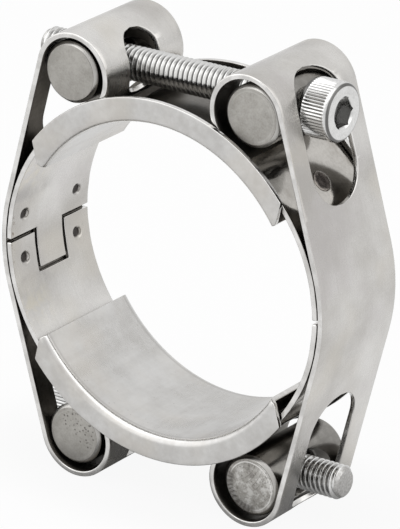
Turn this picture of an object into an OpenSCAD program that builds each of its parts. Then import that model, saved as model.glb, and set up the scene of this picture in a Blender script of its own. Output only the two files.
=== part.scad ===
// Two-bolt hose clamp: two folded bands drawn together over two saddles.
// Y is the axis of the hose, X runs along the bolts and Z is up. Millimetres.
// The clamp is drawn loose, as it leaves the bag. One half turn about Y takes
// the right band, upper saddle, upper bolt and upper pins onto their opposites.

/* [Hose] */
// Radius of the hose that the saddles close round
bore_r = 23; // [19:0.5:30]

/* [Saddles] */
// Thickness of the saddle sheet
saddle_t = 0.8; // [0.6:0.1:1]
// Angle that a saddle covers on each side of its middle
saddle_a = 57; // [45:1:62]
// Height of the side walls, from the face that holds the hose
wall_h = 3.7; // [2.4:0.1:4.2]
// Outer radius of the bend into each side wall
bend_r = 1.1; // [1.1:0.1:1.8]
// Angle that the top of a side wall covers on each side of its middle
wall_a = 52; // [40:1:57]
// Clearance between a band's edge and a side wall
edge_gap = 0.2; // [0.1:0.05:0.4]

/* [Bands] */
// Width of the band
band_w = 18; // [15:0.5:24]
// Thickness of the band
band_t = 0.8; // [0.5:0.1:1]
// How far each band stands off its seat on the saddles while loose
stand_off = 1.9; // [1.6:0.1:2.4]
// Gap between the two plies of a band
ply_gap = 0.12; // [0.05:0.01:0.3]
// Straight neck between the round of the band and its loop
neck_l = 3.4; // [1:0.2:6]

/* [Slots] */
// Room beside the bolt head in the outer slot
slot_room = 1; // [0.5:0.1:2]
// Height above the middle at which the outer slot starts
slot_start = 14; // [11:0.2:15]
// Angle up the loop at which the outer slot ends
slot_end_a = 60; // [50:1:68]
// Room beside the bolt in the hole on the gap side
hole_room = 1; // [0.5:0.1:1.5]
// Angle up the loop at which that hole ends
hole_top_a = 57; // [48:1:64]
// Angle down the loop at which that hole ends
hole_low_a = 42; // [38:1:46]

/* [Ply ends] */
// Width of the tongue on one end of the inner ply
tongue_w = 6.4; // [4:0.2:8]
// Length of that tongue
tongue_l = 6; // [3:0.5:7]
// Width of the slit between the two ends
slit = 0.55; // [0.2:0.05:0.8]
// Diameter of a spot weld's dimple
weld_d = 1.7; // [1:0.1:2.2]
// Depth of a dimple
weld_deep = 0.4; // [0.1:0.05:0.5]
// Distance of a dimple from the slit
weld_rise = 3.4; // [2.5:0.1:5]
// Distance of a dimple from the middle of the band
weld_y = 6.1; // [5:0.1:7]

/* [Pins] */
// Diameter of the four cross pins
pin_d = 9; // [7.5:0.5:11]
// How far a pin's ends lie inside the band's edges
pin_inset = 0.5; // [0:0.1:1]
// Chamfer on the ends of a pin
pin_chamfer = 0.5; // [0.2:0.1:1]
// Play of a pin in its loop, on the radius
pin_play = 0.75; // [0.4:0.05:1.2]
// Gap left between a pin and the outer wall of its loop
pin_gap = 0.1; // [0.05:0.05:0.3]
// Width of the countersink at each end of a nut pin's hole
sink_w = 0.7; // [0.3:0.05:1]

/* [Bolts] */
// Thread diameter
bolt_d = 5; // [4:0.5:6]
// Length under the head
bolt_l = 45; // [40:1:60]
// Diameter of the head
head_d = 8.5; // [7:0.5:10]
// Height of the head
head_h = 5; // [4:0.5:6]
// Chamfer on the edges of the head
head_chamfer = 0.4; // [0.2:0.1:0.8]
// Chamfer on the end of the thread
tip_chamfer = 0.6; // [0.3:0.1:1]
// Width across the flats of the socket
socket_af = 4; // [3:0.5:5]
// Depth of the socket
socket_deep = 2.6; // [2:0.2:3.5]
// Gap between the bolts and the saddles
bolt_gap = 0.9; // [0.6:0.1:2]
// Clearance of the thread in a nut pin, on the radius
thread_gap = 0.05; // [0.02:0.01:0.1]
// Clearance of the bolt in a head pin, on the radius
shank_gap = 0.25; // [0.1:0.05:0.5]
// Depth of the flat that a bolt head seats on
seat_deep = 0.3; // [0.1:0.05:0.6]
// Room beside the bolt head on that flat
seat_room = 0.5; // [0.2:0.1:1]
// Gap between the flat and the bolt head
seat_gap = 0.02; // [0.01:0.01:0.1]

/* [Hidden] */
$fn = 96;

STEEL = [0.76, 0.75, 0.73];
DULL_STEEL = [0.68, 0.67, 0.65];
BRIGHT_STEEL = [0.83, 0.83, 0.84];

// How far a straight face bites into a round one that it meets, and the reach of cutters past a face
BITE = 0.002;
PAST = 1;

// Saddle section
saddle_w = band_w + 2 * (edge_gap + saddle_t);
seat_r = bore_r + saddle_t;

// Radii of the plies, to the middle of the sheet, and the face between the plies
inner_r = seat_r + band_t / 2;
outer_r = inner_r + band_t + ply_gap;
between_r = (inner_r + outer_r) / 2;
round_c = [stand_off, 0];

// The loop lies one neck away from the round, at the height that clears the saddle
loop_r = pin_d / 2 + pin_play + band_t / 2;
pin_z = seat_r + bolt_gap + bolt_d / 2;
loop_reach = sqrt(pow(inner_r + loop_r, 2) + pow(neck_l, 2));
loop_c = [stand_off + sqrt(pow(loop_reach, 2) - pow(pin_z, 2)), pin_z];
pin_x = loop_c[0] + pin_play - pin_gap;
pin_l = band_w - 2 * pin_inset;

// Angles, about the round and the loop, at which the plies leave them
reach_a = atan2(loop_c[1], loop_c[0] - stand_off);
inner_a = reach_a - acos((inner_r + loop_r) / loop_reach);
outer_a = reach_a - acos((outer_r - loop_r) / loop_reach);

slot_w = head_d + 2 * slot_room;
hole_w = bolt_d + 2 * hole_room;
seat_x = pin_x + pin_d / 2 - seat_deep;

function on_circle(c, r, a) = c + r * [cos(a), sin(a)];

// Takes what is drawn on the XY plane to the XZ plane
module upright() { rotate([90, 0, 0]) children(); }

module half_turn() { rotate([0, 180, 0]) children(); }

// The band seen edge on, filled in: a round with a teardrop at each end. Its faces lie
// at these radii outside the round, inside the round and about each loop.
module outline(outer, inner, loop) {
    half_a = (outer_a + inner_a) / 2;
    difference() {
        union() {
            translate(round_c) intersection() {
                circle(outer);
                polygon([[0, 0], on_circle([0, 0], 2 * outer, -half_a), on_circle([0, 0], 2 * outer, half_a)]);
            }
            for (flip = [0, 1])
                mirror([0, flip]) {
                    translate(loop_c) circle(loop);
                    polygon([
                        round_c,
                        on_circle(round_c, outer - BITE, outer_a), on_circle(loop_c, loop - BITE, outer_a),
                        loop_c,
                        on_circle(loop_c, loop - BITE, inner_a + 180), on_circle(round_c, inner - BITE, inner_a)
                    ]);
                }
        }
        translate(round_c) circle(inner);
    }
}

// The folded strip before it is cut
module folded_strip() {
    half = band_t / 2;
    upright() linear_extrude(band_w, center = true) difference() {
        outline(outer_r + half, inner_r - half, loop_r + half);
        outline(outer_r - half, inner_r + half, loop_r - half);
    }
}

// All that lies inside the face between the plies
module round_core() {
    translate([stand_off, 0, 0]) upright() cylinder(r = between_r, h = 2 * band_w, center = true);
}

// A cutter along X with round ends, as wide as w and from height z0 to z1
module long_hole(w, x0, x1, z0, z1) {
    translate([x0, 0, 0]) rotate([0, 90, 0]) {
        for (z = [z0 + w / 2, z1 - w / 2])
            translate([-z, 0, 0]) cylinder(d = w, h = x1 - x0);
        translate([w / 2 - z1, -w / 2, 0]) cube([z1 - z0 - w, w, x1 - x0]);
    }
}

// The openings for the upper bolt: a slot that spares the inner ply, and the hole on the gap side
module bolt_cuts() {
    difference() {
        long_hole(slot_w, loop_c[0], 2 * loop_c[0], slot_start, pin_z + loop_r * sin(slot_end_a));
        round_core();
    }
    long_hole(hole_w, 0, loop_c[0],
        pin_z - loop_r * sin(hole_low_a), pin_z + loop_r * sin(hole_top_a));
}

// Places its children at the four spot welds, with X pointing out of the round
module at_welds() {
    for (side = [-1, 1], end = [-1, 1])
        translate([stand_off, side * weld_y, 0])
            rotate([0, -end * asin(weld_rise / between_r), 0]) children();
}

// The slit between the ends of the inner ply, stepped round the tongue
module ply_slit() {
    half = slit / 2;
    intersection() {
        difference() {
            union() {
                translate([stand_off, -band_w / 2 - PAST, -half])
                    cube([between_r + PAST, band_w + 2 * PAST, slit]);
                translate([stand_off, -tongue_w / 2 - half, -half])
                    cube([between_r + PAST, tongue_w + slit, tongue_l + slit]);
            }
            translate([stand_off - PAST, half - tongue_w / 2, -half - PAST])
                cube([between_r + 3 * PAST, tongue_w - slit, tongue_l + PAST]);
        }
        round_core();
    }
}

// One folded strip: a round of two plies with a loop at each end
module band() {
    dimple_r = (pow(weld_d / 2, 2) + pow(weld_deep, 2)) / (2 * weld_deep);
    difference() {
        union() {
            folded_strip();
            at_welds() translate([inner_r, 0, 0])
                rotate([0, 90, 0]) cylinder(d = weld_d, h = outer_r - inner_r);
        }
        bolt_cuts();
        mirror([0, 0, 1]) bolt_cuts();
        ply_slit();
        at_welds() translate([seat_r - dimple_r + weld_deep, 0, 0]) sphere(r = dimple_r);
    }
}

// What is cut off a square corner at the origin to round it
module round_off(r) {
    difference() {
        translate([-PAST, -PAST]) square(r + PAST);
        translate([r, r]) circle(r);
    }
}

// A block as tall as h and as wide as w, with its two lower corners rounded
module channel_block(h, w, r) {
    difference() {
        translate([0, -w / 2]) square([h, w]);
        translate([0, -w / 2]) round_off(r);
        translate([0, w / 2]) mirror([0, 1]) round_off(r);
    }
}

// The round sheet channel that bridges a gap between the bands, with its walls cut back at their ends
module saddle() {
    end_a = 90 - saddle_a;
    cut_from = on_circle([0, 0], bore_r + bend_r, end_a);
    cut_to = 2 * on_circle([0, 0], bore_r + wall_h, 90 - wall_a) - cut_from;
    upright() difference() {
        rotate(end_a) rotate_extrude(angle = 2 * saddle_a) translate([bore_r, 0])
            difference() {
                channel_block(wall_h, saddle_w, bend_r);
                translate([saddle_t, 0])
                    channel_block(wall_h, saddle_w - 2 * saddle_t, bend_r - saddle_t);
            }
        for (flip = [0, 1])
            mirror([flip, 0]) linear_extrude(2 * saddle_w, center = true)
                polygon([cut_from, cut_to, [2 * bore_r, cut_to[1]], [2 * bore_r, cut_from[1]]]);
    }
}

// A turned cross pin with chamfered ends, along Y
module pin() {
    half = pin_l / 2;
    edge_r = pin_d / 2 - pin_chamfer;
    upright() rotate_extrude()
        polygon([
            [0, -half], [edge_r, -half], [pin_d / 2, pin_chamfer - half],
            [pin_d / 2, half - pin_chamfer], [edge_r, half], [0, half]
        ]);
}

module cross_hole(r) {
    rotate([0, 90, 0]) cylinder(r = r, h = 2 * pin_d, center = true);
}

// The pin that the bolt screws into, countersunk on both sides
module nut_pin() {
    hole_r = bolt_d / 2 + thread_gap;
    sink_from = sqrt(pow(pin_d / 2, 2) - pow(hole_r + sink_w, 2)) - sink_w;
    difference() {
        pin();
        cross_hole(hole_r);
        for (side = [-90, 90])
            rotate([0, side, 0]) translate([0, 0, sink_from]) cylinder(r1 = hole_r, r2 = hole_r + pin_d, h = pin_d);
    }
}

// The pin that carries the bolt head on a milled flat
module head_pin() {
    difference() {
        pin();
        cross_hole(bolt_d / 2 + shank_gap);
        translate([seat_x - pin_x, 0, 0]) rotate([0, 90, 0]) cylinder(d = head_d + 2 * seat_room, h = pin_d);
    }
}

// A socket-head screw along Z, with the underside of its head at zero
module bolt() {
    bolt_r = bolt_d / 2;
    head_r = head_d / 2;
    socket_r = socket_af / 2 / cos(30);
    socket_edge = head_chamfer / 2;
    difference() {
        rotate_extrude()
            polygon([
                [0, -bolt_l], [bolt_r - tip_chamfer, -bolt_l], [bolt_r, tip_chamfer - bolt_l], [bolt_r, 0],
                [head_r - head_chamfer, 0], [head_r, head_chamfer],
                [head_r, head_h - head_chamfer], [head_r - head_chamfer, head_h], [0, head_h]
            ]);
        translate([0, 0, head_h - socket_deep]) cylinder(r = socket_r, h = socket_deep + PAST, $fn = 6);
        translate([0, 0, head_h - socket_edge])
            cylinder(r1 = socket_r - socket_edge, r2 = socket_r + socket_edge, h = head_chamfer);
    }
}

module right_band() { color(STEEL) band(); }

module left_band() { color(STEEL) half_turn() band(); }

module upper_saddle() { color(STEEL) saddle(); }

module lower_saddle() { color(STEEL) half_turn() saddle(); }

module upper_bolt() {
    color(BRIGHT_STEEL) translate([seat_x + seat_gap, 0, pin_z]) rotate([0, 90, 0]) bolt();
}

module lower_bolt() { half_turn() upper_bolt(); }

module upper_head_pin() { color(DULL_STEEL) translate([pin_x, 0, pin_z]) head_pin(); }

module lower_head_pin() { half_turn() upper_head_pin(); }

module upper_nut_pin() { color(DULL_STEEL) translate([-pin_x, 0, pin_z]) nut_pin(); }

module lower_nut_pin() { half_turn() upper_nut_pin(); }

left_band();
right_band();
upper_saddle();
lower_saddle();
upper_bolt();
lower_bolt();
upper_nut_pin();
upper_head_pin();
lower_nut_pin();
lower_head_pin();
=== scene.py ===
import math

import bmesh
import bpy
from mathutils import Matrix, Vector


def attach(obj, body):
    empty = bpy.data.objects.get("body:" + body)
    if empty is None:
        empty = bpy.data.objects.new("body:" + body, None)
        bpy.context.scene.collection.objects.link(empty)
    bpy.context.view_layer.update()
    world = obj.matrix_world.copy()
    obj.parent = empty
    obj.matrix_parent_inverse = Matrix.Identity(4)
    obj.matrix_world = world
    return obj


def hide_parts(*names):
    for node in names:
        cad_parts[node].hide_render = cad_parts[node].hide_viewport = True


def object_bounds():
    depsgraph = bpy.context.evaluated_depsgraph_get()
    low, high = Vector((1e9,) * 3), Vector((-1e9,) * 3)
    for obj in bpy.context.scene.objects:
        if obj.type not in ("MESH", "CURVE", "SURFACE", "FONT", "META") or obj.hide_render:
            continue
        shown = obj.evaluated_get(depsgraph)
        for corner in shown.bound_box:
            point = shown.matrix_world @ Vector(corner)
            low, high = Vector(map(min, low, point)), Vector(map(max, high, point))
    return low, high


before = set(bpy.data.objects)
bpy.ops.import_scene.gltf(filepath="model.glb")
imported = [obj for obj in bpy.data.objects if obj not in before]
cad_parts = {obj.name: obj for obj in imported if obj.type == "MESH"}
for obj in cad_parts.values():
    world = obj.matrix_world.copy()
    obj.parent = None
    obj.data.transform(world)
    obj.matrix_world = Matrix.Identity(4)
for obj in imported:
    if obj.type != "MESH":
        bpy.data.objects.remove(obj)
cad_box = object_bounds()


# Bands: each is one strip of stainless steel, sheared to width and pierced for the bolts, then folded back at
# both ends into a loop for a cross pin. Its ends meet in a tongue and a notch behind the outer ply, and four
# spot welds, seen as dimples, hold them there.
mm = 0.001
strip_t = 0.8 * mm
strip_half_w = 9 * mm
round_x = 1.9 * mm
inner_r = 24.2 * mm
outer_r = 25.12 * mm
loop_x = 14.657 * mm
loop_z = 27.2 * mm
loop_r = 5.65 * mm
edge_round = 0.15 * mm

# Where the strip leaves the round for its loops, and the runs of the fold: length, radius of the bend if any
loop_reach = math.hypot(loop_x - round_x, loop_z)
loop_bearing = math.atan2(loop_z, loop_x - round_x)
outer_a = loop_bearing - math.acos((outer_r - loop_r) / loop_reach)
inner_a = loop_bearing - math.acos((inner_r + loop_r) / loop_reach)
straight_l = math.sqrt(loop_reach ** 2 - (outer_r - loop_r) ** 2)
neck_l = math.sqrt(loop_reach ** 2 - (inner_r + loop_r) ** 2)
fold_runs = [
    (outer_r * outer_a, outer_r),
    (straight_l, None),
    (loop_r * (math.pi + inner_a - outer_a), loop_r),
    (neck_l, None),
    (inner_r * inner_a, -inner_r),
]
neck_end_s = sum(length for length, turn_r in fold_runs[:4])
meet_s = sum(length for length, turn_r in fold_runs)

# Piercings along the strip, measured from the middle of the outer ply: from, to, half width
slot = (14.34 * mm, 33.98 * mm, 5.25 * mm)
gap_hole = (40.19 * mm, 49.96 * mm, 3.5 * mm)

# The meeting ends: half the slit, the tongue and notch, and the weld dimples as rings of radius and depth
slit_half = 0.275 * mm
tongue_l = inner_r * math.asin(5.725 * mm / inner_r)
notch_l = inner_r * math.asin(6.275 * mm / inner_r)
tongue_half_w = 2.925 * mm
notch_half_w = 3.475 * mm
weld_s = inner_r * math.radians(7.93)
weld_y = 6.1 * mm
weld_cell = 1.45 * mm
weld_cell_cuts = 4
ring_inset = 0.02 * mm
weld_rings = [
    (1.26 * mm, -0.02 * mm),
    (1.13 * mm, 0.0),
    (1.03 * mm, 0.1 * mm),
    (0.78 * mm, 0.3 * mm),
    (0.38 * mm, 0.4 * mm),
]

# How finely the strip is cut across, and how near two points have to be to count as one
bend_step = math.radians(3.5)
straight_step = 2.5 * mm
least_step = 0.12 * mm
round_end_steps = 12
tongue_steps = 4
merge_dist = 0.001 * mm

# Places in a band's list of surfaces: where the strip is doubled its inside has painted shade, and elsewhere
# it does not
doubled_ply = 0
single_ply = 3

# Colours of the rolled faces, stains and painted shade, then of the fold's painted-shade inside, the inner
# ply's back and the edges
rolled_dark = (0.45, 0.433, 0.41, 1)
rolled_light = (0.685, 0.674, 0.655, 1)
warm_film = (0.6, 0.565, 0.5, 1)
cool_film = (0.57, 0.545, 0.55, 1)
weld_burn_and_shade = (0.035, 0.03, 0.028, 1)
flash_brown = (0.22, 0.17, 0.13, 1)
straw_stain = (0.68, 0.63, 0.5, 1)
slit_shade_grey = (0.33, 0.318, 0.31, 1)
# Painted shade: the dark of the fold's inside and of the saddles' channels
inside_shade_dark = (0.11, 0.102, 0.091, 1)
inside_shade_light = (0.2, 0.189, 0.173, 1)
back_dark = (0.4, 0.385, 0.36, 1)
back_light = (0.54, 0.52, 0.49, 1)
oil_brown = (0.24, 0.21, 0.175, 1)
edge_dark = (0.56, 0.55, 0.535, 1)
edge_light_and_highlight = (0.76, 0.75, 0.735, 1)


def fold_point(s, off):
    """A point of the right band: s along the strip from the middle of its outer ply, off towards the fold."""
    x, z, heading = round_x + outer_r, 0.0, math.pi / 2
    left = abs(s)
    for length, turn_r in fold_runs:
        last = turn_r == -inner_r
        run = left if last else min(left, length)
        if turn_r:
            middle_x = x - turn_r * math.sin(heading)
            middle_z = z + turn_r * math.cos(heading)
            heading += run / turn_r
            x = middle_x + turn_r * math.sin(heading)
            z = middle_z - turn_r * math.cos(heading)
        else:
            x += run * math.cos(heading)
            z += run * math.sin(heading)
        left -= run
        if left <= 0:
            break
    x -= off * math.sin(heading)
    z += off * math.cos(heading)
    return x, z if s >= 0 else -z


def pierced(s):
    """Half the width of the slot or hole that the strip has at s."""
    for start, end, half in (slot, gap_hole):
        if start < abs(s) < end:
            into = min(abs(s) - start, end - abs(s), half)
            return math.sqrt(half ** 2 - (half - into) ** 2)
    return 0.0


def strip_cuts():
    """Places along half of the strip where it is cut across: close at bends and at the ends of piercings."""
    weld_at = meet_s - weld_s
    fixed = [0.0, meet_s - slit_half, meet_s - notch_l, weld_at - weld_cell, weld_at + weld_cell]
    loose = []
    for start, end, half in (slot, gap_hole):
        fixed += [start, end]
        for k in range(1, round_end_steps + 1):
            into = half * (1 - math.cos(math.radians(90 * k / round_end_steps)))
            loose += [start + into, end - into]
    at = 0.0
    for length, turn_r in fold_runs:
        if length < meet_s - at:
            fixed.append(at + length)
        step = abs(turn_r) * bend_step if turn_r else straight_step
        count = max(1, round(length / step))
        loose += [at + length * k / count for k in range(1, count)]
        at += length
    cuts = sorted(fixed)
    for s in sorted(loose):
        in_weld = abs(s - weld_at) < weld_cell
        if s < meet_s - slit_half and not in_weld and min(abs(s - c) for c in cuts) > least_step:
            cuts.append(s)
    return sorted(cuts)


def add_other_half(bm, rank):
    """Mirrors half a sheet across Y, and turns its faces so that the one that ranks lowest looks down."""
    bmesh.ops.mirror(bm, geom=bm.verts[:] + bm.edges[:] + bm.faces[:], axis="Y", merge_dist=merge_dist)
    bmesh.ops.recalc_face_normals(bm, faces=bm.faces[:])
    lowest = min(bm.faces, key=rank)
    lowest.normal_update()
    if lowest.normal.z > 0:
        bmesh.ops.reverse_faces(bm, faces=bm.faces[:])


def flat_strip():
    """The strip as it is pierced, flat: x along it, y across it, z its depth."""
    cuts = strip_cuts()
    tongue_from = meet_s - slit_half
    tongue_end = meet_s + tongue_l
    tongue_cuts = []
    for k in range(1, tongue_steps + 1):
        tongue_cuts.append(tongue_from + (tongue_end - tongue_from) * k / tongue_steps)
    along = [-s for s in reversed(cuts[1:] + tongue_cuts)] + cuts
    across = [0.0, tongue_half_w, notch_half_w, weld_y - weld_cell, weld_y + weld_cell, strip_half_w]
    bm = bmesh.new()
    bmesh.ops.create_grid(bm, x_segments=len(along) - 1, y_segments=len(across) - 1, size=0.5)
    for v in bm.verts:
        s = along[round((v.co.x + 0.5) * (len(along) - 1))]
        line = across[round((v.co.y + 0.5) * (len(across) - 1))]
        edge = pierced(s)
        v.co = (s, edge + (strip_half_w - edge) * line / strip_half_w, 0)
    notch_from = meet_s - notch_l
    waste = []
    for f in bm.faces:
        c = f.calc_center_median()
        in_notch = c.x > notch_from and c.y < notch_half_w
        off_tongue = c.x < slit_half - meet_s and c.y > tongue_half_w
        if in_notch or off_tongue:
            waste.append(f)
    bmesh.ops.delete(bm, geom=waste, context="FACES")
    for side in (-1, 1):
        middle = Vector((side * (meet_s - weld_s), weld_y, 0))
        cell = min(bm.faces, key=lambda f: (f.calc_center_median() - middle).length)
        bmesh.ops.subdivide_edges(bm, edges=cell.edges[:], cuts=weld_cell_cuts)
        cell = min(bm.faces, key=lambda f: (f.calc_center_median() - middle).length)
        for ring_r, depth in weld_rings:
            bmesh.ops.inset_region(bm, faces=[cell], thickness=ring_inset)
            for v in cell.verts:
                out = Vector((v.co.x - middle.x, v.co.y - middle.y, 0)).normalized()
                v.co = middle + out * ring_r + Vector((0, 0, depth))
    add_other_half(bm, lambda f: -f.calc_area())
    for f in bm.faces:
        single = abs(f.calc_center_median().x) > neck_end_s
        f.material_index = single_ply if single else doubled_ply
    return bm


def finished_piece(bm, name, surfaces, body, node=None):
    """Closes a bmesh into a piece that rides on its body and stands for its CAD node, if it has one."""
    mesh = bpy.data.meshes.new(name)
    bm.to_mesh(mesh)
    bm.free()
    piece = bpy.data.objects.new(name, mesh)
    bpy.context.scene.collection.objects.link(piece)
    for surface in surfaces:
        mesh.materials.append(surface)
    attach(piece, body)
    if node:
        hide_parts(node)
    return piece


def give_thickness(piece):
    """Makes a sheet of a flat mesh: its thickness, rolled-over edges and shading that keeps faces even."""
    piece.data.shade_smooth()
    wall = piece.modifiers.new("thickness", "SOLIDIFY")
    wall.thickness = strip_t
    wall.offset = 0
    wall.material_offset = 2
    wall.material_offset_rim = 1
    edge = piece.modifiers.new("edges", "BEVEL")
    edge.width = edge_round
    edge.segments = 2
    edge.limit_method = "ANGLE"
    edge.angle_limit = math.radians(50)
    edge.use_clamp_overlap = False
    even = piece.modifiers.new("even_shading", "WEIGHTED_NORMAL")
    even.keep_sharp = True


class Field:
    """A value that changes over a surface: one output socket in a material's nodes."""

    def __init__(self, tree, socket):
        self.tree = tree
        self.socket = socket

    def node(self, kind, settings=(), out=0, **inputs):
        """Adds a node: its type, its settings, then its sockets' values or links, with _ for a space."""
        made = self.tree.nodes.new(kind)
        for key, value in dict(settings).items():
            setattr(made, key, value)
        for key, value in inputs.items():
            wanted = key.replace("_", " ")
            sockets = [s for s in made.inputs if s.name == wanted and s.enabled]
            place = sockets[0] if sockets else made.inputs[int(key[1:])]
            if isinstance(value, Field):
                self.tree.links.new(value.socket, place)
            else:
                place.default_value = value
        return Field(self.tree, made.outputs[out])

    def maths(self, operation, other=None, swap=False):
        """Adds a Math node on this value, and on another one if it takes two."""
        pair = [self, other]
        if swap:
            pair.reverse()
        values = {f"i{k}": v for k, v in enumerate(pair) if v is not None}
        return self.node("ShaderNodeMath", {"operation": operation}, **values)

    def __add__(self, other):
        return self.maths("ADD", other)

    def __radd__(self, other):
        return self.maths("ADD", other, True)

    def __sub__(self, other):
        return self.maths("SUBTRACT", other)

    def __rsub__(self, other):
        return self.maths("SUBTRACT", other, True)

    def __mul__(self, other):
        return self.maths("MULTIPLY", other)

    def __rmul__(self, other):
        return self.maths("MULTIPLY", other, True)

    def over(self, low, high):
        """0 where the value is at low or beyond it, 1 at high, and smooth between."""
        settings = {"interpolation_type": "SMOOTHSTEP", "clamp": True}
        return self.node("ShaderNodeMapRange", settings, Value=self, From_Min=low, From_Max=high)

    def noise(self, scale, detail=3.0, roughness=0.55):
        """Cloudy noise at this place, from 0 to 1."""
        return self.node("ShaderNodeTexNoise", (), "Fac", Vector=self, Scale=scale, Detail=detail,
                         Roughness=roughness)

    def cells(self, scale, out="Distance"):
        """A pattern of cells at this place: the distance from a cell's middle, or the cell's own colour."""
        return self.node("ShaderNodeTexVoronoi", {"feature": "F1"}, out, Vector=self, Scale=scale)

    def stretched(self, scale, shift=(0, 0, 0)):
        """The same place, pulled so that a pattern is drawn out along one way."""
        settings = {"vector_type": "POINT"}
        return self.node("ShaderNodeMapping", settings, Vector=self, Scale=scale, Location=shift)

    def shifted(self, shift):
        """The same place, measured from another point."""
        return self.stretched((1, 1, 1), shift)

    def parts(self):
        """The x, y and z of a place, as three values."""
        split = self.node("ShaderNodeSeparateXYZ", (), 0, Vector=self).socket.node
        return [Field(self.tree, part) for part in split.outputs]

    def length(self):
        """How far a place is from the point that it is measured from."""
        return self.node("ShaderNodeVectorMath", {"operation": "LENGTH"}, "Value", Vector=self)

    def tint(self, colour, other):
        """colour where the value is 0, other where it is 1."""
        settings = {"data_type": "RGBA", "clamp_factor": True}
        return self.node("ShaderNodeMix", settings, 2, i0=self, i6=colour, i7=other)


def metal(name):
    """A bare metal: its material, shader and the place on the piece that its patterns read."""
    surface = bpy.data.materials.new(name)
    surface.use_nodes = True
    tree = surface.node_tree
    shader = tree.nodes["Principled BSDF"]
    shader.inputs["Metallic"].default_value = 1.0
    where = tree.nodes.new("ShaderNodeTexCoord")
    return surface, shader, Field(tree, where.outputs["Object"])


def lay_on(shader, colour, roughness, height, strength, depth):
    """Links what changes over the surface to the shader: colour, roughness, and a bump of the given depth."""
    tree = height.tree
    tree.links.new(colour.socket, shader.inputs["Base Color"])
    tree.links.new(roughness.socket, shader.inputs["Roughness"])
    bump = height.node("ShaderNodeBump", (), Strength=strength, Distance=depth, Height=height)
    tree.links.new(bump.socket, shader.inputs["Normal"])


def rolled_steel(name):
    """Rolled strip: satin, with faint rolling lines, warm and cool patches, stains, a grey patch of painted
    shade and burnt weld dimples darkened further as painted shade.
    """
    surface, shader, at = metal(name)
    along = at.node("ShaderNodeUVMap", {"uv_map": "strip"})
    lines = along.stretched((60, 2600, 1)).noise(1.0, 2.0)
    cloud = at.noise(110, 3.0)
    fine = at.noise(2600, 2.0, 0.6)
    scratch_a = along.stretched((380, 5200, 1)).noise(1.0, 1.0).over(0.69, 0.74)
    scratch_b = along.stretched((4300, 420, 1), (3, 7, 0)).noise(1.0, 1.0).over(0.7, 0.75)
    scratches = scratch_a + scratch_b
    patch = at.shifted((0.4, 0.2, 0.7)).noise(48, 2.0)
    shade = 0.4 * cloud + 0.47 * patch + 0.05 * lines + 0.08 * fine
    colour = shade.over(0.34, 0.66).tint(rolled_dark, rolled_light)
    warm = at.shifted((0.1, 0.6, 0.3)).noise(75, 2.0)
    colour = (0.4 * warm.over(0.5, 0.68)).tint(colour, warm_film)
    colour = (0.3 * (1 - warm.over(0.34, 0.5))).tint(colour, cool_film)

    # Weld dimples, burnt dark and darkened further as painted shade in their hollows, measured along and
    # across the strip
    strip_s, strip_y = along.parts()[:2]
    from_weld_s = strip_s.maths("ABSOLUTE") - (meet_s - weld_s)
    from_weld_y = strip_y.maths("ABSOLUTE") - weld_y
    from_weld = (from_weld_s * from_weld_s + from_weld_y * from_weld_y).maths("SQRT")
    # Partly real weld burn, partly painted shade in the dimple
    burnt = 1 - from_weld.over(0.8 * mm, 1.15 * mm)
    colour = (0.95 * burnt).tint(colour, weld_burn_and_shade)

    # Stains near the welds, on the front half: brown flash by the edge and a straw one, then a grey patch of
    # painted shade
    to_slit = from_weld_s - weld_s
    front = 0 - strip_y
    flash = to_slit.over(-5.5 * mm, -1.5 * mm) * front.over(strip_half_w - 1.2 * mm, strip_half_w - 0.2 * mm)
    flash = flash * at.noise(1500, 3.0, 0.7).over(0.54, 0.62)
    colour = (0.75 * flash).tint(colour, flash_brown)
    straw = to_slit.over(-15 * mm, -11 * mm) * (1 - to_slit.over(-9 * mm, -7 * mm))
    straw = straw * front.over(1 * mm, 6 * mm) * at.noise(380, 4.0, 0.7).over(0.42, 0.62)
    colour = (0.35 * straw).tint(colour, straw_stain)
    # Painted shade: a grey patch on the front half, just before the slit
    slit_shade = to_slit.over(-9.5 * mm, -7 * mm) * (1 - to_slit.over(-6.6 * mm, -5.4 * mm))
    slit_shade = slit_shade * front.over(-1 * mm, 3 * mm) * at.noise(260, 3.0).over(0.32, 0.62)
    colour = (0.5 * slit_shade).tint(colour, slit_shade_grey)
    roughness = 0.2 + 0.08 * cloud + 0.04 * lines + 0.06 * scratches + 0.2 * flash + 0.12 * burnt
    height = 0.06 * lines + 0.1 * fine - 0.2 * scratches - 1.5 * flash
    lay_on(shader, colour, roughness, height, 0.1, 0.02 * mm)
    return surface


def painted_shade_inside(name):
    """The inside of the fold and of a saddle's channel: painted shade, dark and brown, and rougher than the
    faces.
    """
    surface, shader, at = metal(name)
    cloud = at.noise(240, 4.0, 0.6)
    fine = at.noise(2400, 2.0, 0.6)
    colour = (0.7 * cloud + 0.3 * fine).over(0.32, 0.68).tint(inside_shade_dark, inside_shade_light)
    lay_on(shader, colour, 0.26 + 0.16 * cloud, fine, 0.12, 0.02 * mm)
    return surface


def ply_back(name):
    """The back of the inner ply, as it came from the mill: nearly a mirror, with a brown film of oil."""
    surface, shader, at = metal(name)
    cloud = at.noise(130, 3.0, 0.6)
    fine = at.noise(2200, 2.0, 0.6)
    oil = at.shifted((0.2, 0.5, 0.1)).noise(210, 3.0).over(0.5, 0.7)
    colour = (0.7 * cloud + 0.3 * fine).over(0.32, 0.68).tint(back_dark, back_light)
    colour = (0.5 * oil).tint(colour, oil_brown)
    lay_on(shader, colour, 0.1 + 0.06 * cloud + 0.06 * oil, cloud, 0.2, 0.1 * mm)
    return surface


def sheared_edge(name):
    """The sheared edge of a sheet: bright, partly burnished and partly a painted highlight, with soft clouds
    and fine short marks.
    """
    surface, shader, at = metal(name)
    marks = at.noise(3200, 2.0)
    cloud = at.noise(420, 2.0)
    colour = (0.85 * cloud + 0.15 * marks).over(0.3, 0.7).tint(edge_dark, edge_light_and_highlight)
    lay_on(shader, colour, 0.16 + 0.06 * marks, marks, 0.07, 0.015 * mm)
    return surface


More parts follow.
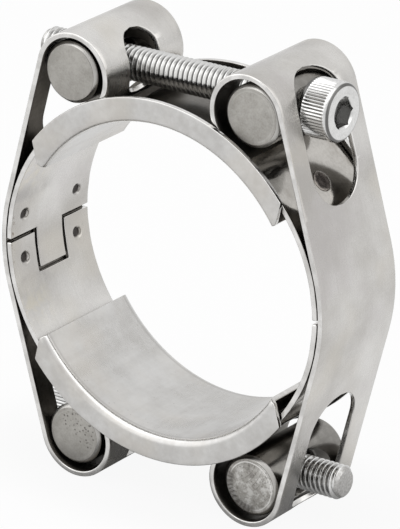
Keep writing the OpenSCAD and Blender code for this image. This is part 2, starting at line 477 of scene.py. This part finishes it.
band_face = rolled_steel("band_rolled_steel")
band_edge = sheared_edge("band_sheared_edge")
# The inside of the fold is painted shade
band_inside = painted_shade_inside("band_fold_inside")
band_back = ply_back("band_ply_back")
band_surfaces = (band_face, band_edge, band_inside, band_face, band_edge, band_back)
half_turn = Matrix.Rotation(math.pi, 4, "Y")
for side, body in (("right", "right_half"), ("left", "left_half")):
    bm = flat_strip()
    drawn = bm.loops.layers.uv.new("strip")
    for f in bm.faces:
        for corner in f.loops:
            corner[drawn].uv = corner.vert.co.xy
    for v in bm.verts:
        x, z = fold_point(v.co.x, v.co.z)
        v.co = (x, v.co.y, z)
    if side == "left":
        bmesh.ops.transform(bm, matrix=half_turn, verts=bm.verts[:])
    band = finished_piece(bm, f"{side}_folded_strip", band_surfaces, body, f"{side}_band")
    give_thickness(band)


# Cross pins: short bars of stainless steel, turned to length with a small chamfer at each end and drilled
# across. Two are tapped for the bolts and countersunk, two have a plain hole and a flat that the bolt head
# pulls on. They lie loose in the loops of the bands.
pin_r = 4.5 * mm
pin_half_l = 8.5 * mm
pin_chamfer = 0.5 * mm
chamfer_round = 0.07 * mm
pin_x = 15.306 * mm
pin_z = 27.2 * mm
tapped_r = 2.55 * mm
plain_r = 2.75 * mm
countersink_r = 3.25 * mm
flat_at = 4.2 * mm
flat_r = 4.75 * mm
cut_reach = pin_r + 1 * mm
bolt_way = (1, 0, 0)
pin_way = (0, 1, 0)
upward = (0, 0, 1)
pin_steps = 96
hole_steps = 64
seam_dist = 0.002 * mm

# Colours of the ends and their marks, one partly a painted highlight, then of the sides, the holes' painted
# shade and the rims
end_dark = (0.305, 0.293, 0.27, 1)
end_light = (0.425, 0.412, 0.386, 1)
worn_bright = (0.66, 0.65, 0.63, 1)
worn_dark = (0.14, 0.13, 0.12, 1)
score_dark = (0.11, 0.103, 0.095, 1)
score_bright_and_highlight = (0.78, 0.77, 0.75, 1)
pit_dark = (0.1, 0.092, 0.085, 1)
side_dark = (0.21, 0.202, 0.188, 1)
side_light = (0.32, 0.308, 0.29, 1)
hole_shade_dark = (0.05, 0.046, 0.042, 1)
lip_bright = (0.5, 0.49, 0.47, 1)
rim_bright = (0.47, 0.46, 0.44, 1)


def turned(profile, steps, axis, across):
    """A lathed shape: the profile's points are (place along the axis, radius), with its ends on the axis."""
    bm = bmesh.new()
    line = [bm.verts.new(Vector(axis) * a + Vector(across) * r) for a, r in profile]
    edges = [bm.edges.new(pair) for pair in zip(line, line[1:])]
    bmesh.ops.spin(bm, geom=line + edges, cent=(0, 0, 0), axis=axis, angle=2 * math.pi, steps=steps,
                   use_merge=True)
    bmesh.ops.remove_doubles(bm, verts=bm.verts[:], dist=merge_dist)
    bmesh.ops.recalc_face_normals(bm, faces=bm.faces[:])
    return bm


def cut_out(bm, cutters):
    """Takes the cutters' shapes out of a closed bmesh."""
    whole = bpy.data.objects.new("whole", bpy.data.meshes.new("whole"))
    bm.to_mesh(whole.data)
    bpy.context.scene.collection.objects.link(whole)
    tools = []
    for cutter in cutters:
        tool = bpy.data.objects.new("tool", bpy.data.meshes.new("tool"))
        cutter.to_mesh(tool.data)
        cutter.free()
        bpy.context.scene.collection.objects.link(tool)
        cut = whole.modifiers.new("cut", "BOOLEAN")
        cut.object = tool
        cut.operation = "DIFFERENCE"
        cut.solver = "EXACT"
        tools.append(tool)
    seen = whole.evaluated_get(bpy.context.evaluated_depsgraph_get())
    left = bpy.data.meshes.new_from_object(seen)
    bm.clear()
    bm.from_mesh(left)
    bmesh.ops.remove_doubles(bm, verts=bm.verts[:], dist=seam_dist)
    bmesh.ops.dissolve_degenerate(bm, edges=bm.edges[:], dist=merge_dist)
    for spare in [whole] + tools:
        bpy.data.objects.remove(spare)
    bpy.data.meshes.remove(left)


def rounded(bm, wanted, offset):
    """Rounds the edges that wanted picks, in two steps."""
    edges = [e for e in bm.edges if wanted(e)]
    bmesh.ops.bevel(bm, geom=edges, offset=offset, affect="EDGES", segments=2, profile=0.5, material=-1)


def turned_steel(name, centre, hole_r, pitting, scoring):
    """A turned pin: dull tumbled ends, pitted or scored, with a bright rim, oily sides and painted shade in
    the hole; a scored end has a scratched ring that is partly a painted highlight.
    """
    surface, shader, at = metal(name)
    here = at.shifted((-centre[0], 0, -centre[1]))
    x, y, z = here.parts()
    out_y = y.maths("ABSOLUTE")
    from_axis = (x * x + z * z).maths("SQRT")
    end_face = out_y.over(pin_half_l - 0.1 * mm, pin_half_l - 0.04 * mm)
    end_face = end_face * (1 - from_axis.over(pin_r - 0.62 * mm, pin_r - 0.5 * mm))
    rings = (from_axis * 9000 + 2.5 * here.noise(500, 2.0)).maths("SINE")
    blotch = here.noise(420, 4.0, 0.6)
    grit = here.noise(3800, 2.0, 0.7)

    # Pits: only some of the cells of a pattern, and only where a cloud of them lies
    pit = here.cells(2200.0)
    own_colour = here.cells(2200.0, "Color")
    picked = here.node("ShaderNodeSeparateColor", (), 0, Color=own_colour).over(0.15, 0.2)
    crowd = (here.noise(520, 3.0, 0.7) + 75 * z + 40 * x).over(0.46, 0.6)
    pitted = pitting * picked * crowd * (1 - pit.over(0.16, 0.46))

    # Scores: curved scratches, and a ribbed step that the cutting-off tool left on one side of the face
    to_one_side = ((x + 3 * mm) * (x + 3 * mm) + (z - 5 * mm) * (z - 5 * mm)).maths("SQRT")
    swirl = (to_one_side * 9000 + 14 * here.noise(150, 2.0, 0.5)).maths("SINE").over(0.75, 0.98)
    swirl = swirl * here.noise(420, 3.0, 0.6).over(0.46, 0.64)
    ribs = (z.maths("ARCTAN2", x) * 34 + 16 * blotch).maths("SINE")
    step = (0 - 0.8 * x - 0.6 * z - 0.3 * from_axis).over(-0.2 * mm, 1.2 * mm)
    step = step * (from_axis + 0.5 * mm * (grit - 0.5)).over(pin_r - 1.8 * mm, pin_r - 1.3 * mm)
    scored = scoring * (0.4 * swirl + step * (0.6 + 0.2 * ribs))
    # A bright scratched ring on the side away from the step, partly a painted highlight
    wander = 0.25 * mm * (here.noise(350, 2.0) - 0.5)
    from_line = (from_axis + wander - (pin_r - 0.95 * mm)).maths("ABSOLUTE")
    scratch_ring_and_highlight = scoring * (1 - step) * (1 - from_line.over(0.03 * mm, 0.14 * mm))

    # Sides: the cross hole with painted shade in it, its lip, lines of the turning, and the rims of the ends
    from_hole = (y * y + z * z).maths("SQRT")
    hole_shade = 1 - from_hole.over(hole_r - 0.12 * mm, hole_r - 0.04 * mm)
    lip = 1 - (from_hole - hole_r).maths("ABSOLUTE").over(0.05 * mm, 0.13 * mm)
    drawn = here.stretched((3600, 90, 3600)).noise(1.0, 2.0)
    sides = (0.2 * drawn + 0.8 * blotch).over(0.3, 0.7).tint(side_dark, side_light)
    sides = (0.85 * hole_shade).tint(sides, hole_shade_dark)
    sides = (0.7 * lip).tint(sides, lip_bright)
    rim = 1 - out_y.over(pin_half_l - 0.04 * mm, pin_half_l - 0.02 * mm)
    rim = rim * out_y.over(pin_half_l - pin_chamfer - 0.1 * mm, pin_half_l - pin_chamfer)
    sides = rim.tint(sides, rim_bright)

    # Ends: dull, worn in patches where they are scored, with the scores and pits on top
    dull = (0.65 * blotch + 0.35 * grit).over(0.3, 0.7).tint(end_dark, end_light)
    worn = here.noise(620, 5.0, 0.75)
    dull = (0.75 * scoring * worn.over(0.48, 0.6)).tint(dull, worn_bright)
    dull = (0.5 * scoring * (1 - worn.over(0.36, 0.46))).tint(dull, worn_dark)
    dull = scored.tint(dull, score_dark)
    dull = (0.8 * scratch_ring_and_highlight).tint(dull, score_bright_and_highlight)
    dull = (0.85 * pitted).tint(dull, pit_dark)
    colour = end_face.tint(sides, dull)
    roughness = 0.2 + 0.03 * drawn + 0.1 * rim + end_face * (0.2 + 0.12 * blotch)
    marks = 0.1 * rings + 0.35 * grit + 0.4 * blotch - 1.6 * pitted - scored
    lay_on(shader, colour, roughness, end_face * marks + 0.03 * drawn, 0.35, 0.02 * mm)
    return surface


pin_profile = [
    (-pin_half_l, 0),
    (-pin_half_l, pin_r - pin_chamfer),
    (pin_chamfer - pin_half_l, pin_r),
    (pin_half_l - pin_chamfer, pin_r),
    (pin_half_l, pin_r - pin_chamfer),
    (pin_half_l, 0),
]


def on_chamfer(e):
    """Whether an edge runs round one of a pin's chamfers."""
    level = abs(e.verts[0].co.y - e.verts[1].co.y) < merge_dist
    out = min(v.co.xz.length for v in e.verts) > pin_r - pin_chamfer - 0.01 * mm
    return level and out


# The pins: level, side, what they are for, and how pitted and how scored their ends are
pin_places = (
    ("upper", -1, "nut", 0.1, 0.0),
    ("upper", 1, "head", 0.1, 0.15),
    ("lower", 1, "nut", 0.5, 1.0),
    ("lower", -1, "head", 1.0, 0.1),
)
for level, side, kind, pitting, scoring in pin_places:
    bm = turned(pin_profile, pin_steps, pin_way, bolt_way)
    rounded(bm, on_chamfer, chamfer_round)
    if kind == "nut":
        hole_r = countersink_r
        sink = math.sqrt(pin_r ** 2 - countersink_r ** 2) - (countersink_r - tapped_r)
        wide = tapped_r + cut_reach - sink
        half_bore = [(sink, tapped_r), (cut_reach, wide), (cut_reach, 0)]
        cuts = [[(-a, r) for a, r in reversed(half_bore)] + half_bore]
    else:
        hole_r = plain_r
        bore = [(-cut_reach, 0), (-cut_reach, plain_r), (cut_reach, plain_r), (cut_reach, 0)]
        seat = [(flat_at, 0), (flat_at, flat_r), (cut_reach, flat_r), (cut_reach, 0)]
        cuts = [bore, [(side * a, r) for a, r in seat]]
    cut_out(bm, [turned(cut, hole_steps, bolt_way, upward) for cut in cuts])
    place = Vector((side * pin_x, 0, pin_z if level == "upper" else -pin_z))
    bmesh.ops.translate(bm, vec=place, verts=bm.verts[:])
    finish = turned_steel(f"{level}_{kind}_pin_turned", (place.x, place.z), hole_r, pitting, scoring)
    pin = finished_piece(bm, f"{level}_{kind}_turned_pin", (finish,), f"{level}_{kind}",
                         f"{level}_{kind}_pin")
    pin.data.shade_smooth()
    pin.data.set_sharp_from_angle(angle=math.radians(28))


# Spot welds: a burnt crater with a low rim on the back of each inner ply, of the band's own steel, melted and
# pressed by a welding tip. The one on the right band is seen through the slot under the upper bolt's head.
spot_r = 1.6 * mm
spot_y = 1.0 * mm
spot_rise = math.radians(41.3)
spot_steps = 40
crater_burnt = (0.06, 0.052, 0.048, 1)
crater_rim = (0.24, 0.22, 0.2, 1)
spot_profile = [
    (-0.1 * mm, 0),
    (-0.1 * mm, spot_r),
    (0.01 * mm, spot_r),
    (0.07 * mm, 0.86 * spot_r),
    (0.09 * mm, 0.74 * spot_r),
    (0.05 * mm, 0.58 * spot_r),
    (0.02 * mm, 0.36 * spot_r),
    (0.06 * mm, 0.16 * spot_r),
    (0.07 * mm, 0),
]


def burnt_steel(name, centre):
    """Steel that was melted and pressed: dark brown in the crater, and greyer on its rim."""
    surface, shader, at = metal(name)
    here = at.shifted(-centre)
    ripple = here.noise(1600, 3.0, 0.6)
    rim = (here.length() + 1.1 * mm * (ripple - 0.5)).over(0.6 * spot_r, 0.95 * spot_r)
    colour = rim.tint(crater_burnt, crater_rim)
    lay_on(shader, colour, 0.16 + 0.2 * ripple, ripple, 0.5, 0.12 * mm)
    return surface


for side, body, turn in (("right", "right_half", None), ("left", "left_half", half_turn)):
    out = Vector((math.cos(spot_rise), 0, math.sin(spot_rise)))
    centre = Vector((round_x, spot_y, 0)) + out * (inner_r + strip_t / 2)
    bm = turned(spot_profile, spot_steps, upward, bolt_way)
    lean = Matrix.Translation(centre) @ Matrix.Rotation(math.pi / 2 - spot_rise, 4, "Y")
    bmesh.ops.transform(bm, matrix=lean, verts=bm.verts[:])
    if turn:
        bmesh.ops.transform(bm, matrix=turn, verts=bm.verts[:])
        centre = turn @ centre
    finish = burnt_steel(f"{side}_spot_weld_burnt", centre)
    spot = finished_piece(bm, f"{side}_spot_weld", (finish,), body)
    spot.data.shade_smooth()


# Bolts: socket-head cap screws of stainless steel, cold-headed, with a straight knurl round the head, a
# broached hexagon socket and a rolled right-hand thread with a chamfered end. They screw into the nut pins
# and pull on the flats of the head pins.
thread_r = 2.5 * mm
root_r = 2.02 * mm
pitch = 0.8 * mm
head_from = 19.526 * mm
head_l = 5 * mm
head_r = 4.25 * mm
shank_to = -25.474 * mm
tip_r = 1.9 * mm
knurl_grooves = 56
knurl_deep = 0.2 * mm
socket_r = 4 * mm / math.sqrt(3)
socket_deep = 2.6 * mm
socket_steps = 60
point_r = 1.75 * mm
point_steps = 48
turn_steps = 48

# Colours of the bright steel, the thread, the painted shade of its grooves and the sheared end
screw_dark = (0.6, 0.598, 0.59, 1)
screw_light = (0.76, 0.758, 0.75, 1)
thread_bright = (0.7, 0.698, 0.69, 1)
groove_shade_dark = (0.05, 0.048, 0.045, 1)
sheared_grey = (0.3, 0.29, 0.275, 1)


def rolled_thread():
    """The threaded shank along X: one pitch of its outline, wound round the axis, with its end chamfered."""
    bm = bmesh.new()
    start = shank_to - 1.5 * pitch
    outline = [(0, root_r), (0.14, root_r), (0.2, root_r + 0.03 * mm), (0.44, thread_r - 0.02 * mm),
               (0.48, thread_r), (0.56, thread_r), (0.6, thread_r - 0.02 * mm), (0.8, root_r + 0.05 * mm),
               (0.84, root_r)]
    stretch = pitch / (outline[-1][0] * mm)
    line = [bm.verts.new((start + a * mm * stretch, 0, r)) for a, r in outline]
    edges = [bm.edges.new(pair) for pair in zip(line, line[1:])]
    bmesh.ops.spin(bm, geom=line + edges, cent=(0, 0, 0), axis=bolt_way, dvec=(pitch / turn_steps, 0, 0),
                   angle=2 * math.pi, steps=turn_steps)
    turn = bm.verts[:] + bm.edges[:] + bm.faces[:]
    for k in range(1, math.ceil((head_from - start) / pitch) + 1):
        copied = bmesh.ops.duplicate(bm, geom=turn)["geom"]
        verts = [v for v in copied if isinstance(v, bmesh.types.BMVert)]
        bmesh.ops.translate(bm, vec=(k * pitch, 0, 0), verts=verts)
    bmesh.ops.remove_doubles(bm, verts=bm.verts[:], dist=seam_dist)
    ends = ((shank_to, (-1, 0, 0)), (head_from + 0.3 * mm, (1, 0, 0)))
    for x, out in ends:
        geom = bm.verts[:] + bm.edges[:] + bm.faces[:]
        bmesh.ops.bisect_plane(bm, geom=geom, dist=0.0005 * mm, plane_co=(x, 0, 0), plane_no=out,
                               clear_outer=True)
    for v in bm.verts:
        most = tip_r + (v.co.x - shank_to)
        r = v.co.yz.length
        if r > most:
            v.co.y *= most / r
            v.co.z *= most / r
    bmesh.ops.remove_doubles(bm, verts=bm.verts[:], dist=seam_dist)
    bmesh.ops.holes_fill(bm, edges=[e for e in bm.edges if e.is_boundary], sides=0)
    bmesh.ops.recalc_face_normals(bm, faces=bm.faces[:])
    return bm


def knurled_head():
    """The head: lathed with its rim and collar, knurled, then broached for the key."""
    end = head_from + head_l
    collar_r = head_r - 0.2 * mm
    knurl_from = head_from + 0.75 * mm
    knurl_to = end - 0.75 * mm
    profile = [
        (head_from, 0),
        (head_from, collar_r - 0.15 * mm),
        (head_from + 0.12 * mm, collar_r - 0.03 * mm),
        (head_from + 0.3 * mm, collar_r),
        (knurl_from - 0.2 * mm, collar_r),
        (knurl_from, head_r - 0.02 * mm),
        (knurl_from + 0.25 * mm, head_r),
        (knurl_to - 0.25 * mm, head_r),
        (knurl_to, head_r - 0.03 * mm),
        (end - 0.45 * mm, head_r - 0.08 * mm),
        (end - 0.22 * mm, head_r - 0.2 * mm),
        (end - 0.06 * mm, head_r - 0.42 * mm),
        (end, head_r - 0.68 * mm),
        (end, 0),
    ]
    drop = (0.0, 0.45, 1.0, 0.45)
    knurl_steps = knurl_grooves * len(drop)
    bm = turned(profile, knurl_steps, bolt_way, upward)
    for v in bm.verts:
        r = v.co.yz.length
        if knurl_from + 0.1 * mm < v.co.x < knurl_to - 0.1 * mm and r > head_r - 0.1 * mm:
            step = round(math.atan2(v.co.y, v.co.z) / (2 * math.pi) * knurl_steps) % len(drop)
            v.co.y *= 1 - drop[step] * knurl_deep / head_r
            v.co.z *= 1 - drop[step] * knurl_deep / head_r
    key = bmesh.new()
    bmesh.ops.create_cone(key, cap_ends=True, segments=6, radius1=socket_r, radius2=socket_r,
                          depth=2 * socket_deep)
    upright = Matrix.Translation((end, 0, 0)) @ Matrix.Rotation(math.pi / 2, 4, "Y")
    bmesh.ops.transform(key, matrix=upright, verts=key.verts[:])
    lead = 0.28 * mm
    mouth = [
        (end - lead, 0),
        (end - lead, socket_r - 0.22 * mm),
        (end + lead, socket_r + 0.34 * mm),
        (end + lead, 0),
    ]
    bottom = end - socket_deep
    point = [(bottom - 0.8 * mm, 0), (bottom + 0.1 * mm, point_r), (bottom + 0.2 * mm, 0)]
    lead_in = turned(mouth, socket_steps, bolt_way, upward)
    drill_point = turned(point, point_steps, bolt_way, upward)
    cut_out(bm, [key, lead_in, drill_point])
    return bm


def bolt_steel(name, height):
    """A rolled and tumbled screw: bright, with fine scuffs, and painted shade in the grooves of its thread
    and knurl and in its socket.
    """
    surface, shader, at = metal(name)
    here = at.shifted((0, 0, -height))
    x, y, z = here.parts()
    out_x = x.maths("ABSOLUTE")
    from_axis = (y * y + z * z).maths("SQRT")
    cloud = here.noise(500, 3.0)
    scuff = here.noise(2900, 3.0, 0.65)
    colour = (0.5 * cloud + 0.5 * scuff).over(0.3, 0.7).tint(screw_dark, screw_light)
    on_thread = 1 - from_axis.over(thread_r, thread_r + 0.1 * mm)
    colour = on_thread.tint(colour, thread_bright)

    # Painted shade: the hollows of the thread and of the knurl, and the socket
    thread_hollow_shade = 1 - from_axis.over(root_r - 0.02 * mm, root_r + 0.26 * mm)
    thread_hollow_shade = thread_hollow_shade * from_axis.over(1.6 * mm, 1.9 * mm) * (1 - out_x.over(head_from - 0.1 * mm, head_from))
    knurl_groove_shade = from_axis.over(head_r - 0.6 * mm, head_r - 0.45 * mm)
    knurl_groove_shade = knurl_groove_shade * (1 - from_axis.over(head_r - knurl_deep, head_r - 0.1 * mm))
    face_at = head_from + head_l
    socket_shade = 1 - from_axis.over(socket_r, socket_r + 0.04 * mm)
    socket_shade = socket_shade * out_x.over(head_from, head_from + 0.2 * mm)
    socket_shade = socket_shade * (1 - out_x.over(face_at - 0.3 * mm, face_at - 0.16 * mm))
    colour = (0.75 * thread_hollow_shade + 0.85 * knurl_groove_shade + 0.38 * socket_shade).tint(colour, groove_shade_dark)
    sheared = out_x.over(-shank_to - 0.6 * mm, -shank_to - 0.3 * mm)
    colour = (sheared * (0.45 + 0.4 * scuff.over(0.35, 0.65))).tint(colour, sheared_grey)
    roughness = 0.15 - 0.05 * on_thread + 0.1 * cloud + 0.05 * scuff + 0.2 * sheared
    lay_on(shader, colour, roughness, (0.4 + 2 * sheared) * scuff + 0.6 * cloud, 0.1, 0.02 * mm)
    return surface


for level, height in (("upper", pin_z), ("lower", -pin_z)):
    bm = rolled_thread()
    head = knurled_head()
    spare = bpy.data.meshes.new("spare")
    head.to_mesh(spare)
    head.free()
    bm.from_mesh(spare)
    bpy.data.meshes.remove(spare)
    if level == "lower":
        bmesh.ops.transform(bm, matrix=half_turn, verts=bm.verts[:])
    bmesh.ops.translate(bm, vec=(0, 0, height), verts=bm.verts[:])
    finish = bolt_steel(f"{level}_bolt_bright_steel", height)
    bolt = finished_piece(bm, f"{level}_socket_screw", (finish,), f"{level}_screw",
                          f"{level}_bolt")
    bolt.data.shade_smooth()
    bolt.data.set_sharp_from_angle(angle=math.radians(32))


# Saddles: thin stainless sheet pressed into a channel and rolled to the round of the hose, with the ends of
# its walls cut back obliquely. Each bridges a gap between the bands, which lie in its channel and press it on
# the hose.
saddle_r = 23 * mm
saddle_half_w = 10 * mm
saddle_wall = 3.7 * mm
saddle_bend = 0.7 * mm
saddle_reach = math.radians(57)
wall_reach = math.radians(52)
saddle_steps = 44
saddle_bend_steps = 6
wall_steps = 4

# Colours of the pressed sheet and its stains, then of the bend, partly a painted highlight, and of the
# painted shade in the line beside it
sheet_dark = (0.48, 0.47, 0.455, 1)
sheet_light = (0.63, 0.625, 0.615, 1)
sheet_warm = (0.6, 0.56, 0.5, 1)
speck_dark = (0.22, 0.2, 0.18, 1)
bend_bright_and_highlight = (0.8, 0.795, 0.785, 1)
press_shade_dark = (0.27, 0.262, 0.25, 1)


def channel_line():
    """Points from the channel's middle to a wall's edge: place across, radius, reach to each side."""
    floor_r = saddle_r + strip_t / 2
    wall_y = saddle_half_w - strip_t / 2
    bend_y = wall_y - saddle_bend
    points = [(y, floor_r, saddle_reach) for y in (0.0, 0.5 * bend_y, bend_y)]
    for k in range(1, saddle_bend_steps + 1):
        a = math.radians(90 * k / saddle_bend_steps)
        bend_r = floor_r + saddle_bend * (1 - math.cos(a))
        points.append((bend_y + saddle_bend * math.sin(a), bend_r, saddle_reach))
    cut_from = Vector((math.sin(saddle_reach), math.cos(saddle_reach))) * (floor_r + saddle_bend)
    cut_to = Vector((math.sin(wall_reach), math.cos(wall_reach))) * (saddle_r + saddle_wall)
    for k in range(1, wall_steps + 1):
        end = cut_from.lerp(cut_to, k / wall_steps)
        points.append((wall_y, end.length, math.atan2(end.x, end.y)))
    return points


def pressed_steel(name):
    """Pressed sheet: tumbled satin, with fine specks, faint draw lines, warm patches, a burnished bend
    brightened as a painted highlight, and painted shade in a pressed line beside it.
    """
    surface, shader, at = metal(name)
    cloud = at.noise(150, 4.0, 0.6)
    warm = at.shifted((0.3, 0.1, 0.2)).noise(90, 3.0)
    fine = at.noise(3000, 3.0, 0.7)
    speck = (1 - at.cells(900.0).over(0.05, 0.12)) * at.noise(300, 2.0).over(0.5, 0.6)
    drawn = at.stretched((900, 40, 900)).noise(1.0, 2.0)
    across = at.parts()[1].maths("ABSOLUTE")
    on_wall = across.over(saddle_half_w - 1.0 * mm, saddle_half_w - 0.5 * mm)
    mottle = at.noise(1000, 4.0, 0.65)
    shade = 0.55 * cloud + 0.1 * fine + 0.2 * drawn + on_wall * 0.1 * (mottle - 0.5) + 0.15 * mottle
    colour = shade.over(0.32, 0.68).tint(sheet_dark, sheet_light)
    colour = (0.35 * warm.over(0.45, 0.7)).tint(colour, sheet_warm)
    colour = (0.4 * speck).tint(colour, speck_dark)
    # The bend: burnished, and brightened further as a painted highlight
    burnished_bend_highlight = across.over(saddle_half_w - 1.0 * mm, saddle_half_w - 0.7 * mm)
    burnished_bend_highlight = burnished_bend_highlight * (1 - across.over(saddle_half_w - 0.5 * mm, saddle_half_w - 0.2 * mm))
    colour = (0.55 * burnished_bend_highlight).tint(colour, bend_bright_and_highlight)
    # A pressed line beside the bend, darkened as painted shade
    pressed_groove_and_shade = 1 - (across - (saddle_half_w - 1.2 * mm)).maths("ABSOLUTE").over(0, 0.35 * mm)
    colour = (0.3 * pressed_groove_and_shade).tint(colour, press_shade_dark)
    roughness = 0.21 + 0.1 * cloud + 0.05 * fine + 0.06 * on_wall - 0.07 * burnished_bend_highlight
    height = 0.3 * fine + 0.2 * drawn - 0.6 * speck + on_wall * 0.3 * mottle - 0.4 * pressed_groove_and_shade
    lay_on(shader, colour, roughness, height, 0.22, 0.02 * mm)
    return surface


saddle_face = pressed_steel("saddle_pressed_steel")
saddle_edge = sheared_edge("saddle_sheared_edge")
# The inside of the channel, where the bands lie, is painted shade
saddle_channel = painted_shade_inside("saddle_channel_painted_shade")
saddle_surfaces = (saddle_face, saddle_edge, saddle_channel)
section = channel_line()
for level, turn in (("upper", None), ("lower", half_turn)):
    bm = bmesh.new()
    bmesh.ops.create_grid(bm, x_segments=saddle_steps, y_segments=len(section) - 1, size=0.5)
    for v in bm.verts:
        y, r, reach = section[round((v.co.y + 0.5) * (len(section) - 1))]
        a = 2 * v.co.x * reach
        v.co = (r * math.sin(a), y, r * math.cos(a))
    add_other_half(bm, lambda f: f.calc_center_median().xy.length)
    if turn:
        bmesh.ops.transform(bm, matrix=turn, verts=bm.verts[:])
    saddle = finished_piece(bm, f"{level}_pressed_channel", saddle_surfaces, "saddles",
                            f"{level}_saddle")
    give_thickness(saddle)


# Studio: a paper floor that keeps the clamp's soft shadow, with a painted shadow right under it that also
# darkens its reflections there, a white surround that is dimmer towards the horizon, and three soft boxes.
floor_z = cad_box[0].z
floor_half = 3.0
shade_from = 12 * mm
shade_to = 24 * mm
paper_painted_shadow = (0.4, 0.4, 0.4, 1)
paper_white = (0.9, 0.9, 0.9, 1)
white = (1, 1, 1, 1)
room_level = 0.5


def rays(tree):
    """Whether a surface is seen by the camera, in a reflection or through glass: 1 or 0 each."""
    path = tree.nodes.new("ShaderNodeLightPath")
    return [Field(tree, path.outputs[f"Is {ray} Ray"]) for ray in ("Camera", "Glossy", "Transmission")]


bm = bmesh.new()
bmesh.ops.create_grid(bm, x_segments=1, y_segments=1, size=floor_half)
bmesh.ops.translate(bm, vec=(0, 0, floor_z), verts=bm.verts[:])
mesh = bpy.data.meshes.new("studio_floor")
bm.to_mesh(mesh)
bm.free()
floor = bpy.data.objects.new("studio_floor", mesh)
bpy.context.scene.collection.objects.link(floor)

paper = bpy.data.materials.new("floor_paper")
paper.use_nodes = True
tree = paper.node_tree
shader = tree.nodes["Principled BSDF"]
shader.inputs["Roughness"].default_value = 0.9
camera_ray, glossy_ray, through_ray = rays(tree)
where = Field(tree, tree.nodes.new("ShaderNodeTexCoord").outputs["Object"])
# Painted shadow: the paper is greyer under the clamp, and glows less there in reflections
far_off = where.stretched((0.5, 1, 0)).length().over(shade_from, shade_to)
shaded = far_off.tint(paper_painted_shadow, paper_white)
tree.links.new(shaded.socket, shader.inputs["Base Color"])
seen = 0.93 * camera_ray + (0.05 + 0.85 * far_off) * glossy_ray + 0.85 * through_ray
glow = seen.node("ShaderNodeEmission", (), Color=white, Strength=1.0)
mix = tree.nodes.new("ShaderNodeMixShader")
tree.links.new(seen.maths("MINIMUM", 1.0).socket, mix.inputs["Fac"])
tree.links.new(shader.outputs["BSDF"], mix.inputs[1])
tree.links.new(glow.socket, mix.inputs[2])
tree.links.new(mix.outputs["Shader"], tree.nodes["Material Output"].inputs["Surface"])
mesh.materials.append(paper)

world = bpy.data.worlds.new("studio")
bpy.context.scene.world = world
world.use_nodes = True
tree = world.node_tree
plain = tree.nodes["Background"]
plain.inputs["Color"].default_value = white
camera_ray, glossy_ray, through_ray = rays(tree)
heading = Field(tree, tree.nodes.new("ShaderNodeTexCoord").outputs["Generated"])
rise = heading.parts()[2]
wall_light = 0.6 + 0.4 * rise.over(-0.1, 0.5)
seen = (camera_ray + wall_light * glossy_ray + through_ray).maths("MINIMUM", 1.0)
tree.links.new((room_level + (1 - room_level) * seen).socket, plain.inputs["Strength"])


def soft_box(name, place, width, height, power):
    """A soft box that looks at the middle of the clamp."""
    lamp = bpy.data.lights.new(name, "AREA")
    lamp.shape = "RECTANGLE"
    lamp.size = width
    lamp.size_y = height
    lamp.energy = power
    box = bpy.data.objects.new(name, lamp)
    bpy.context.scene.collection.objects.link(box)
    box.location = place
    box.rotation_euler = Vector(place).to_track_quat("Z", "Y").to_euler()


soft_box("soft_box_top", (0.05, -0.12, 0.6), 0.9, 0.6, 1.3)
soft_box("soft_box_left", (-0.5, -0.45, 0.35), 0.9, 1.0, 2.1)
soft_box("soft_box_right", (0.6, 0.1, 0.35), 0.8, 0.9, 1.3)


# Camera: it stands where the photograph was taken from, as fitted to the pins, the bolts and the edges of the
# saddles, and looks a little to the right of the clamp's middle and below it.
view_azimuth = math.radians(35.7)
view_elevation = math.radians(21.7)
view_distance = 672 * mm
pixels_per_mm = 7.166
frame_height_px = 529
aim_right = 0.51 * mm
aim_up = -0.4 * mm

lens = bpy.data.cameras.new("photo_camera")
lens.sensor_width = 36
lens.lens = pixels_per_mm / mm * view_distance * lens.sensor_width / frame_height_px
lens.clip_start = 0.01
camera = bpy.data.objects.new("photo_camera", lens)
bpy.context.scene.collection.objects.link(camera)
level_part = math.cos(view_elevation)
back = Vector((math.sin(view_azimuth) * level_part, -math.cos(view_azimuth) * level_part,
               math.sin(view_elevation)))
right = Vector((math.cos(view_azimuth), math.sin(view_azimuth), 0))
up = back.cross(right)
camera.location = right * aim_right + up * aim_up + back * view_distance
camera.rotation_euler = Matrix((right, up, back)).transposed().to_euler()
bpy.context.scene.camera = camera
bpy.context.scene.view_settings.view_transform = "Standard"
